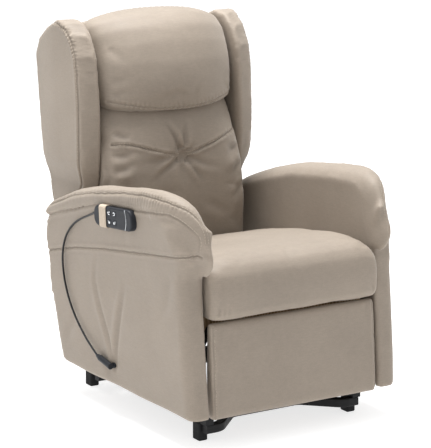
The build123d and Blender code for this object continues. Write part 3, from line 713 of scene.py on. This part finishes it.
def arm(name, side):
    """The upholstery of one arm. The sitter's left (side 1) is set back, as in the photo."""
    piece = Soft("arm_upholstery_" + name, arm_shells(), voxel=7.5, smooth=7)
    x, d, z = piece.co.T
    swept = ease((z - 510) / 80) * ease((330 - d) / 340)
    set_back = 30 if side > 0 else 0
    inner = np.clip(1 - (x - 276) / 30, 0, 1)
    piece.co[:, 1] += swept * (10 + 1.45 * np.clip(x - 276, 0, 90) + 20 * inner ** 2)
    piece.co[:, 1] += set_back * ease((z - 440) / 90) * ease((200 - d) / 200)

    nose = ease((680 - piece.co[:, 2]) / 60) * ease((piece.co[:, 2] - 450) / 30)
    piece.relax(5, nose * ease((90 - piece.co[:, 1]) / 60), 0.5)

    def follow(path):
        moved = np.array(path, float)
        moved[:, 1] += set_back * ease((moved[:, 2] - 440) / 90) * ease((200 - moved[:, 1]) / 200)
        return piece.on_surface(moved)
    lines = [follow(p) for p in (GATHER_SEAM, LOWER_SEAM, SIDE_SEAM)]
    gather, lower, across = lines
    for reach in (24, 12):
        piece.refine(lines, reach)
    piece.waves(1.3, 240, 3 if side > 0 else 5)
    piece.gathers(gather, 0.5, 0.93, 1.5, 13, 26)
    piece.gathers(gather, 0.02, 0.55, 0.4, 24, 18)
    piece.gathers(lower, 0.5, 0.9, 0.5, 15, 12)
    piece.seam(gather, 2.8, 3.0, 1.4, 9, 0.72)
    piece.seam(lower, 3.2, 3.2, 1.4, 9, 0.72)
    piece.seam(across, 2.8, 3.0, 1.3)
    piece.crease([(352, 300, 618), (352, 318, 560), (350, 345, 515)], 1.6, 14, 0.4, (0.1, 0.4))
    if side < 0:
        piece.crease([(340, 406, 128), (341, 426, 200), (342, 460, 265), (343, 487, 318),
                      (344, 508, 370), (345, 503, 416), (347, 482, 462)], 4.2, 9, 0.5, (0.06, 0.5))
        piece.crease([(340, 405, 128), (341, 393, 208), (342, 363, 316), (344, 336, 405)],
                     5.0, 11, 0.55, (0.05, 0.35))
        piece.crease([(339, 430, 110), (341, 470, 170), (342, 520, 215)], 2.4, 14, 0.4, (0.1, 0.6))
    else:
        piece.crease([(341, 380, 110), (342, 420, 230), (343, 440, 330)], 2.2, 15, 0.5, (0.2, 0.5))
    piece.crease([(341, 700, 150), (343, 640, 215), (344, 600, 300)], 2.0, 16, 0.5, (0.2, 0.5))
    piece.crease([(343, 90, 470), (342, 120, 380), (341, 170, 300)], 1.6, 18, 0.5, (0.1, 0.6))
    piece.crease([(330, 8, 505), (322, 22, 455), (312, 26, 400)], 1.8, 12, 0.5, (0.1, 0.6))
    rows = [(gather, (-4.0, 4.0)), (lower, (4.5,)), (across, (-3.8, 3.8))]
    threads = [stitches(f"arm_stitching_{name}_{k}", piece, line, "chassis", offsets)
               for k, (line, offsets) in enumerate(rows)]
    if side < 0:
        piece.mirror(threads)
    piece.finish("chassis", [f"arm_pad_{name}", f"side_cover_{name}", "inner_side_panels"], 0.6)


arm("left", 1)
arm("right", -1)

# ---- seat cushion ------------------------------------------------------------------------------
seat = Soft("seat_upholstery", [slab(
    [(2, 351), (-5, 360), (-7, 385), (-8, 410), (-6, 440), (2, 468), (20, 489), (50, 499),
     (110, 505), (160, 504), (300, 487), (450, 460), (560, 433), (584, 400), (583, 332), (560, 304),
     (400, 327), (250, 344), (110, 355), (40, 347)], rim(-271.5, 271.5, 14), 10)], 7.5, 6)
top = np.clip((seat.co[:, 2] - 400) / 90, 0, 1)
edge = np.clip((np.abs(seat.co[:, 0]) - 190) / 78, 0, 1)
seat.co[:, 2] += top * (3 - 19 * edge ** 2.2)
seat.co[:, 1] += (1 - np.clip(seat.co[:, 1] / 60, 0, 1)) * 7 * edge ** 2
seat.inflate(6)
seat.waves(1.5, 230, 11)
hem = seat.on_surface([(-266, 8, 360), (-200, -5, 360), (0, -6, 360), (200, -5, 360),
                       (266, 8, 360)])
seat.refine([hem], 22)
for x, depth, width in ((-252, 3.0, 5), (-238, 2.4, 5), (-224, 1.6, 6), (252, 2.0, 6)):
    seat.crease([(x, -2, 362), (x * 0.985, -5, 385), (x * 0.96, -6, 420)], depth, width, 0.6,
                (0.05, 0.7))
seat.crease([(-262, 60, 492), (-236, 30, 488), (-200, 8, 478)], 1.4, 10, 0.5, (0.2, 0.5))
seat.crease([(262, 70, 488), (236, 40, 488), (205, 20, 484)], 1.6, 10, 0.5, (0.2, 0.5))
seat.finish("chassis", ["seat_cushion"], 0.8)

# ---- leg-rest pad ------------------------------------------------------------------------------
rest = Soft("legrest_upholstery", [slab(
    [(7, 81), (1, 92), (1.5, 140), (7, 200), (12, 260), (17, 318), (20, 335), (31, 342),
     (43.5, 338), (45.2, 300), (45.2, 110), (43.5, 84), (26, 79.5)], rim(-266, 266, 8), 5)], 6.5, 4)
front = 1 - np.clip((rest.co[:, 1] - 8) / 26, 0, 1)
bulge = np.clip(1 - (rest.co[:, 0] / 262) ** 4, 0, 1) * np.clip(
    np.sin(np.clip((rest.co[:, 2] - 80) / 262, 0, 1) * math.pi), 0, 1) ** 0.6
rest.co[:, 1] -= front * (3.5 * bulge - 1.5)
rest.waves(0.9, 220, 17)
for sx in (-1, 1):
    flank = rest.on_surface([(sx * 259, 8, 90), (sx * 259, 12, 200), (sx * 259, 18, 332)])
    rest.refine([flank], 12, 2)
    rest.seam(flank, 1.8, 2.6, 0.8, 7)
    stitches(f"legrest_stitching_{'left' if sx > 0 else 'right'}", rest, flank, "leg_board", (4,))
for x in (-246, -236, 240):
    rest.crease([(x, 18, 336), (x * 0.99, 14, 318), (x * 0.97, 12, 290)], 1.8, 5, 0.5, (0.05, 0.7))
rest.finish("leg_board", ["legrest_pad"], 0.7)

# ---- wings ------------------------------------------------------------------------------------
WING_INNER, WING_THICK = 229.5, 41.5
WING_FRONT = [(560, 725), (592, 690), (640, 675), (720, 669), (810, 669), (900, 674), (975, 686),
              (1030, 718), (1064, 762)]
WING = [(d, z) for z, d in WING_FRONT[1:]]
WING += [(805, 1070), (870, 1043), (938, 1003), (966, 962), (952, 860), (935, 730), (910, 600),
         (893, 520), (872, 400), (862, 352), (800, 340), (774, 352), (768, 430), (759, 520),
         (738, 572)]
WING_SEAM = [(270, 745, 562), (277, 708, 600), (290, 689, 655), (295, 683, 710), (295, 683, 805),
             (295, 688, 915), (295, 700, 975), (293, 724, 1018), (290, 757, 1045),
             (287, 800, 1058), (282, 865, 1038), (275, 932, 1000)]
WING_REAR_SEAM = [(264, 885, 545), (270, 905, 600), (276, 930, 730), (276, 947, 860),
                  (274, 957, 950)]
for name, sx in (("left", 1), ("right", -1)):
    wing = Soft("wing_upholstery_" + name,
                [slab(WING, rim(WING_INNER, WING_INNER + WING_THICK, 6), 9)], 6.5, 4)
    front_d = np.interp(wing.co[:, 2], *zip(*WING_FRONT))
    lip = np.clip(1 - (wing.co[:, 1] - front_d) / 26, 0, 1)
    share = np.clip((wing.co[:, 0] - WING_INNER) / WING_THICK, 0, 1)
    fore = 0.45 + 0.55 * ease((1010 - wing.co[:, 1]) / 200)
    flare = WING_THICK + 25 * ease((wing.co[:, 2] - 590) / 90) * fore
    wing.co[:, 0] = WING_INNER + flare * share * (0.42 + 0.58 * np.sqrt(1 - lip ** 2))
    wing.co[:, 1] -= 10 * lip * np.sin(math.pi * share) ** 0.8
    border = wing.on_surface(WING_SEAM)
    rear = wing.on_surface(WING_REAR_SEAM)
    wing.refine([border, rear], 14, 2)
    wing.waves(1.0, 200, 23 + sx)
    wing.gathers(border, 0.5, 0.86, 2.0, 11, 16)
    wing.gathers(border, 0.05, 0.56, 0.45, 26, 14)
    wing.seam(border, 2.8, 2.8, 1.5, 8)
    wing.seam(rear, 2.0, 2.8, 0.8, 7)
    wing.crease([(236, 700, 1000), (246, 722, 1030), (258, 742, 1044)], 1.4, 7, 0.5, (0.2, 0.4))
    threads = [stitches(f"wing_stitching_{name}", wing, border, "back", (3.8,)),
               stitches(f"wing_rear_stitching_{name}", wing, rear, "back", (3.8,))]
    if sx < 0:
        wing.mirror(threads)
    wing.finish("back", ["back_wing_" + name], 0.55)

# ---- lumbar cushion ------------------------------------------------------------------------------
lumbar = Soft("lumbar_upholstery", [slab(
    [(618, 345), (602, 420), (596, 520), (601, 620), (607, 720), (622, 770), (648, 812), (680, 838),
     (740, 846), (806, 840), (834, 800), (830, 720), (806, 560), (785, 432), (767, 348),
     (690, 335)], rim(-225, 225, 24), 14)], 7.0, 6)
ahead = 1 - np.clip((lumbar.co[:, 1] - 620) / 190, 0, 1)
recess = np.interp(lumbar.co[:, 2], [560, 640, 733, 835], [8, 16, 56, 92])
lumbar.co[:, 1] += ahead * (recess * np.clip(np.abs(lumbar.co[:, 0]) / 225, 0, 1) ** 3 - 6)
lumbar.inflate(5)
v_seams = [lumbar.on_surface(p) for p in (
    [(-224, 630, 730), (-190, 612, 731), (-146, 604, 719), (-74, 597, 694), (-4, 594, 679)],
    [(224, 630, 742), (188, 612, 734), (112, 602, 710), (41, 596, 688), (4, 594, 679)])]
lumbar.refine(v_seams, 16, 2)
near_tuft = lumbar.on_surface([(-60, 600, 660), (0, 596, 679), (60, 600, 700)])
lumbar.refine([near_tuft], 34)
lumbar.dimple((0, 590, 679), 15, 30)
lumbar.dimple((0, 596, 679), 5, 12)
for path, depth, width, fade in (
        ([(-3, 596, 690), (-14, 600, 715), (-30, 606, 750), (-52, 616, 790)], 5.0, 7, (0.02, 0.5)),
        ([(2, 596, 692), (8, 600, 720), (17, 606, 765), (20, 618, 795)], 3.6, 8, (0.02, 0.6)),
        ([(-8, 596, 672), (-40, 598, 655), (-76, 602, 632), (-104, 606, 608)], 3.4, 8, (0.02, 0.6)),
        ([(8, 596, 670), (28, 598, 650), (50, 600, 620), (68, 602, 590)], 4.0, 7, (0.02, 0.6)),
        ([(14, 596, 672), (50, 598, 658), (92, 602, 640), (130, 606, 632)], 2.6, 9, (0.02, 0.7)),
        ([(-18, 596, 684), (-62, 600, 672), (-110, 604, 668), (-150, 608, 662)], 2.2, 10,
         (0.05, 0.7)),
        ([(0, 594, 668), (-6, 596, 630), (-4, 598, 590)], 1.8, 10, (0.05, 0.7)),
        ([(-222, 626, 770), (-190, 616, 755), (-160, 614, 752)], 3.4, 9, (0.1, 0.5)),
        ([(-222, 626, 700), (-196, 610, 690), (-150, 604, 700)], 2.8, 10, (0.1, 0.6)),
        ([(-222, 620, 640), (-190, 606, 655), (-150, 602, 672)], 2.4, 11, (0.1, 0.6)),
        ([(222, 622, 690), (190, 608, 684), (150, 604, 690)], 2.4, 10, (0.1, 0.6)),
        ([(222, 618, 640), (186, 606, 628), (150, 602, 600)], 2.6, 12, (0.1, 0.6)),
        ([(222, 616, 580), (190, 604, 560), (160, 600, 530)], 2.4, 12, (0.1, 0.6)),
        ([(-222, 616, 560), (-190, 604, 580), (-150, 600, 596)], 2.2, 12, (0.1, 0.6)),
        ([(-120, 600, 560), (-60, 596, 575), (0, 594, 570)], 1.4, 14, (0.3, 0.4)),
        ([(60, 598, 540), (110, 600, 520), (160, 604, 490)], 1.6, 14, (0.3, 0.4))):
    lumbar.crease(path, depth * 1.75, width, 0.7, fade)
for line in v_seams:
    lumbar.gathers(line, 0.0, 0.98, 0.7, 17, 16)
    lumbar.seam(line, 3.4, 2.8, 1.6, 9)
    stitches("lumbar_stitching_" + ("right" if line[0][0] < 0 else "left"), lumbar, line, "back",
             (-4.2, 4.2))
lumbar.waves(1.6, 170, 31)
lumbar.finish("back", ["lumbar_cushion"], 0.7)

# ---- head pillow ---------------------------------------------------------------------------------
pillow = Soft("pillow_upholstery", [slab(
    [(640, 806), (614, 814), (603, 840), (603, 900), (612, 950), (634, 1004), (664, 1048),
     (712, 1078), (780, 1084), (862, 1052), (884, 990), (868, 900), (848, 838), (800, 823),
     (700, 818)], rim(-226, 226, 30), 12)], 7.0, 6)
across = np.abs(pillow.co[:, 0]) / 226
top = np.clip((pillow.co[:, 2] - 900) / 180, 0, 1)
pillow.co[:, 2] += top * (5 - 38 * across ** 3.2)
ahead = 1 - np.clip((pillow.co[:, 1] - 640) / 190, 0, 1)
pillow.co[:, 1] += ahead * (84 * across ** 2.8 - 8)
low = 1 - np.clip((pillow.co[:, 2] - 815) / 60, 0, 1)
pillow.co[:, 2] += low * ahead * (14 * across ** 2 - 2)
pillow.inflate(6)
under = pillow.on_surface([(-222, 660, 838), (-150, 624, 828), (0, 608, 816), (150, 624, 828),
                           (222, 660, 838)])
crest = pillow.on_surface([(-222, 800, 1046), (-120, 792, 1080), (0, 788, 1088), (120, 792, 1080),
                           (222, 800, 1046)])
for reach in (22, 12):
    pillow.refine([under, crest], reach)
pillow.waves(1.6, 210, 41)
pillow.gathers(under, 0.0, 1.0, 1.8, 15, 26)
pillow.gathers(crest, 0.0, 1.0, 1.0, 18, 18)
pillow.seam(under, 2.6, 3.2, 1.5)
pillow.seam(crest, 2.4, 3.0, 1.4)
for path, depth, width in (
        ([(-218, 660, 1010), (-196, 632, 985), (-168, 616, 950)], 2.6, 12),
        ([(-220, 640, 900), (-196, 618, 905), (-150, 606, 920)], 2.6, 12),
        ([(-216, 640, 862), (-190, 616, 870), (-150, 604, 880)], 3.0, 9),
        ([(220, 640, 900), (196, 618, 890), (150, 606, 900)], 2.0, 12),
        ([(216, 640, 855), (190, 616, 868), (160, 606, 880)], 2.4, 9),
        ([(-30, 598, 840), (-34, 597, 862), (-30, 598, 890)], 1.6, 8),
        ([(40, 598, 840), (46, 597, 870), (50, 598, 896)], 1.2, 9)):
    pillow.crease(path, depth, width, 0.5, (0.05, 0.6))
stitches("pillow_stitching_under", pillow, under, "back", (4.2,))
stitches("pillow_stitching_top", pillow, crest, "back", (-4.0, 4.0))
pillow.finish("back", ["head_pillow"], 0.8)

# ---- rear cover of the back ----------------------------------------------------------------------
cover = Soft("back_cover_upholstery", [slab(
    [(824, 302), (845, 500), (880, 760), (906, 930), (892, 985), (868, 1012), (862, 1046),
     (892, 1060), (934, 1036), (963, 970), (948, 860), (928, 730), (891, 500), (861, 302)],
    rim(-226, 226, 7), 8)], 7.0, 4)
top = np.clip((cover.co[:, 2] - 940) / 110, 0, 1)
cover.co[:, 2] -= top * 30 * (np.abs(cover.co[:, 0]) / 226) ** 3.2
cover.waves(1.0, 260, 51)
panels = [cover.on_surface(p) for p in (
    [(-150, 865, 310), (-150, 895, 500), (-150, 932, 730), (-150, 965, 965)],
    [(150, 865, 310), (150, 895, 500), (150, 932, 730), (150, 965, 965)],
    [(-222, 868, 345), (0, 868, 345), (222, 868, 345)])]
cover.refine(panels, 12, 2)
for k, line in enumerate(panels):
    cover.seam(line, 2.2, 2.8, 1.0, 7)
    stitches(f"back_cover_stitching_{k}", cover, line, "back", (-4, 4))
for path in ([(-210, 900, 480), (-170, 900, 520), (-120, 905, 540)],
             [(205, 930, 700), (150, 935, 740), (100, 940, 750)],
             [(-60, 870, 360), (-30, 880, 420), (-20, 890, 480)]):
    cover.crease(path, 2.0, 14, 0.5, (0.2, 0.5))
cover.finish("back", ["back_rear_cover"], 0.35, LEATHER_BACK)


# ---- handset details -------------------------------------------------------------------------
TILT = math.radians(4.5)


def handset_point(back, up, out):
    """Row-frame point on the handset: back along it, up across it, out of its face."""
    return at(-349.5 - 22.0 - out, 356 + back * math.cos(TILT) + up * math.sin(TILT),
              580 - back * math.sin(TILT) + up * math.cos(TILT))


def tubes(name, paths, radius, body, finish, sides=8):
    """Round strokes along point lists as one mesh."""
    verts, faces = [], []
    for path in paths:
        first = len(verts)
        for i, p in enumerate(path):
            along = (path[min(i + 1, len(path) - 1)] - path[max(i - 1, 0)]).normalized()
            right = along.cross(Vector((1, 0, 0))).normalized()
            up = right.cross(along)
            for k in range(sides):
                turn = 2 * math.pi * k / sides
                verts.append(p + (right * math.cos(turn) + up * math.sin(turn)) * radius)
        for i in range(len(path) - 1):
            for k in range(sides):
                a, c = first + i * sides + k, first + i * sides + (k + 1) % sides
                faces.append((a, c, c + sides, a + sides))
        faces.append(tuple(first + k for k in range(sides - 1, -1, -1)))
        faces.append(tuple(first + (len(path) - 1) * sides + k for k in range(sides)))
    mesh = bpy.data.meshes.new(name)
    mesh.from_pydata([tuple(v) for v in verts], [], faces)
    mesh.polygons.foreach_set("use_smooth", [True] * len(mesh.polygons))
    made = add(name, mesh)
    paint(made, finish)
    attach(made, body)
    return made


tubes("handset_trim", [[handset_point(-70 - 7 * (1 - (v / 27) ** 2), v, 0.1)
                        for v in np.linspace(-27, 27, 19)]], 0.0011, "chassis", SILVER)
ICONS = {"button_feet_up": (-14, 12, 1, -1), "button_feet_down": (-14, -12, -1, -1),
         "button_back_up": (16, 12, 1, 1), "button_back_down": (16, -12, -1, 1)}
for button, (back, up, points, lean) in ICONS.items():
    def spot(a, b):
        return handset_point(back + a, up + b, 0.95)
    seat_mark = [spot(-5 * lean, -3.5), spot(1.5 * lean, -3.5), spot(4.5 * lean, 3.5)]
    shaft = [spot(-3.2 * lean, -0.5 * points + 1.2), spot(-3.2 * lean, 3.0 * points + 1.2)]
    head = [spot(-5.2 * lean, 1.2 * points + 1.2), spot(-3.2 * lean, 3.4 * points + 1.2),
            spot(-1.2 * lean, 1.2 * points + 1.2)]
    tubes("icon_" + button, [seat_mark, shaft, head], 0.0010, button, ICON, 6)

# ---- floor, light --------------------------------------------------------------------------------
CHAIR_MIDDLE = Vector((0, 0, 0.5))
FLOOR_REACH = 45.0          # metres each way, so that the ground fills every view
floor = bpy.data.meshes.new("floor")
floor.from_pydata([(x * FLOOR_REACH, y * FLOOR_REACH, 0) for x, y in
                   ((-1, -1), (1, -1), (1, 1), (-1, 1))], [], [(0, 1, 2, 3)])
ground = add("floor", floor)
pale, _, pale_shader = material("floor_white", (0.45, 0.45, 0.45), 0.9)
pale_shader.inputs["Emission Color"].default_value = (1, 1, 1, 1)
pale_shader.inputs["Emission Strength"].default_value = 0.74
floor.materials.append(pale)

world = bpy.data.worlds.new("studio")
bpy.context.scene.world = world
world.use_nodes = True
sky = world.node_tree
height = sky.nodes.new("ShaderNodeSeparateXYZ")
sky.links.new(sky.nodes.new("ShaderNodeTexCoord").outputs["Generated"], height.inputs[0])
glow = ramp(sky, height.outputs["Z"], (0.5,), (1.0,), 0.0, 0.8)
sky.links.new(glow, sky.nodes["Background"].inputs["Color"])
sky.nodes["Background"].inputs["Strength"].default_value = 0.86


def softbox(name, place, size, watts):
    """A round area lamp turned to the middle of the chair."""
    lamp = bpy.data.lights.new(name, "AREA")
    lamp.shape, lamp.size, lamp.energy = "DISK", size, watts
    made = add(name, lamp)
    made.location = place
    made.rotation_euler = (CHAIR_MIDDLE - made.location).to_track_quat("-Z", "Y").to_euler()


softbox("key", (-0.2, 0.9, 5.4), 3.0, 470)
softbox("side", (-4.2, 0.2, 2.2), 2.8, 21)
softbox("front", (-1.0, -5.2, 2.0), 3.0, 8)
bpy.context.scene.view_settings.view_transform = "Standard"
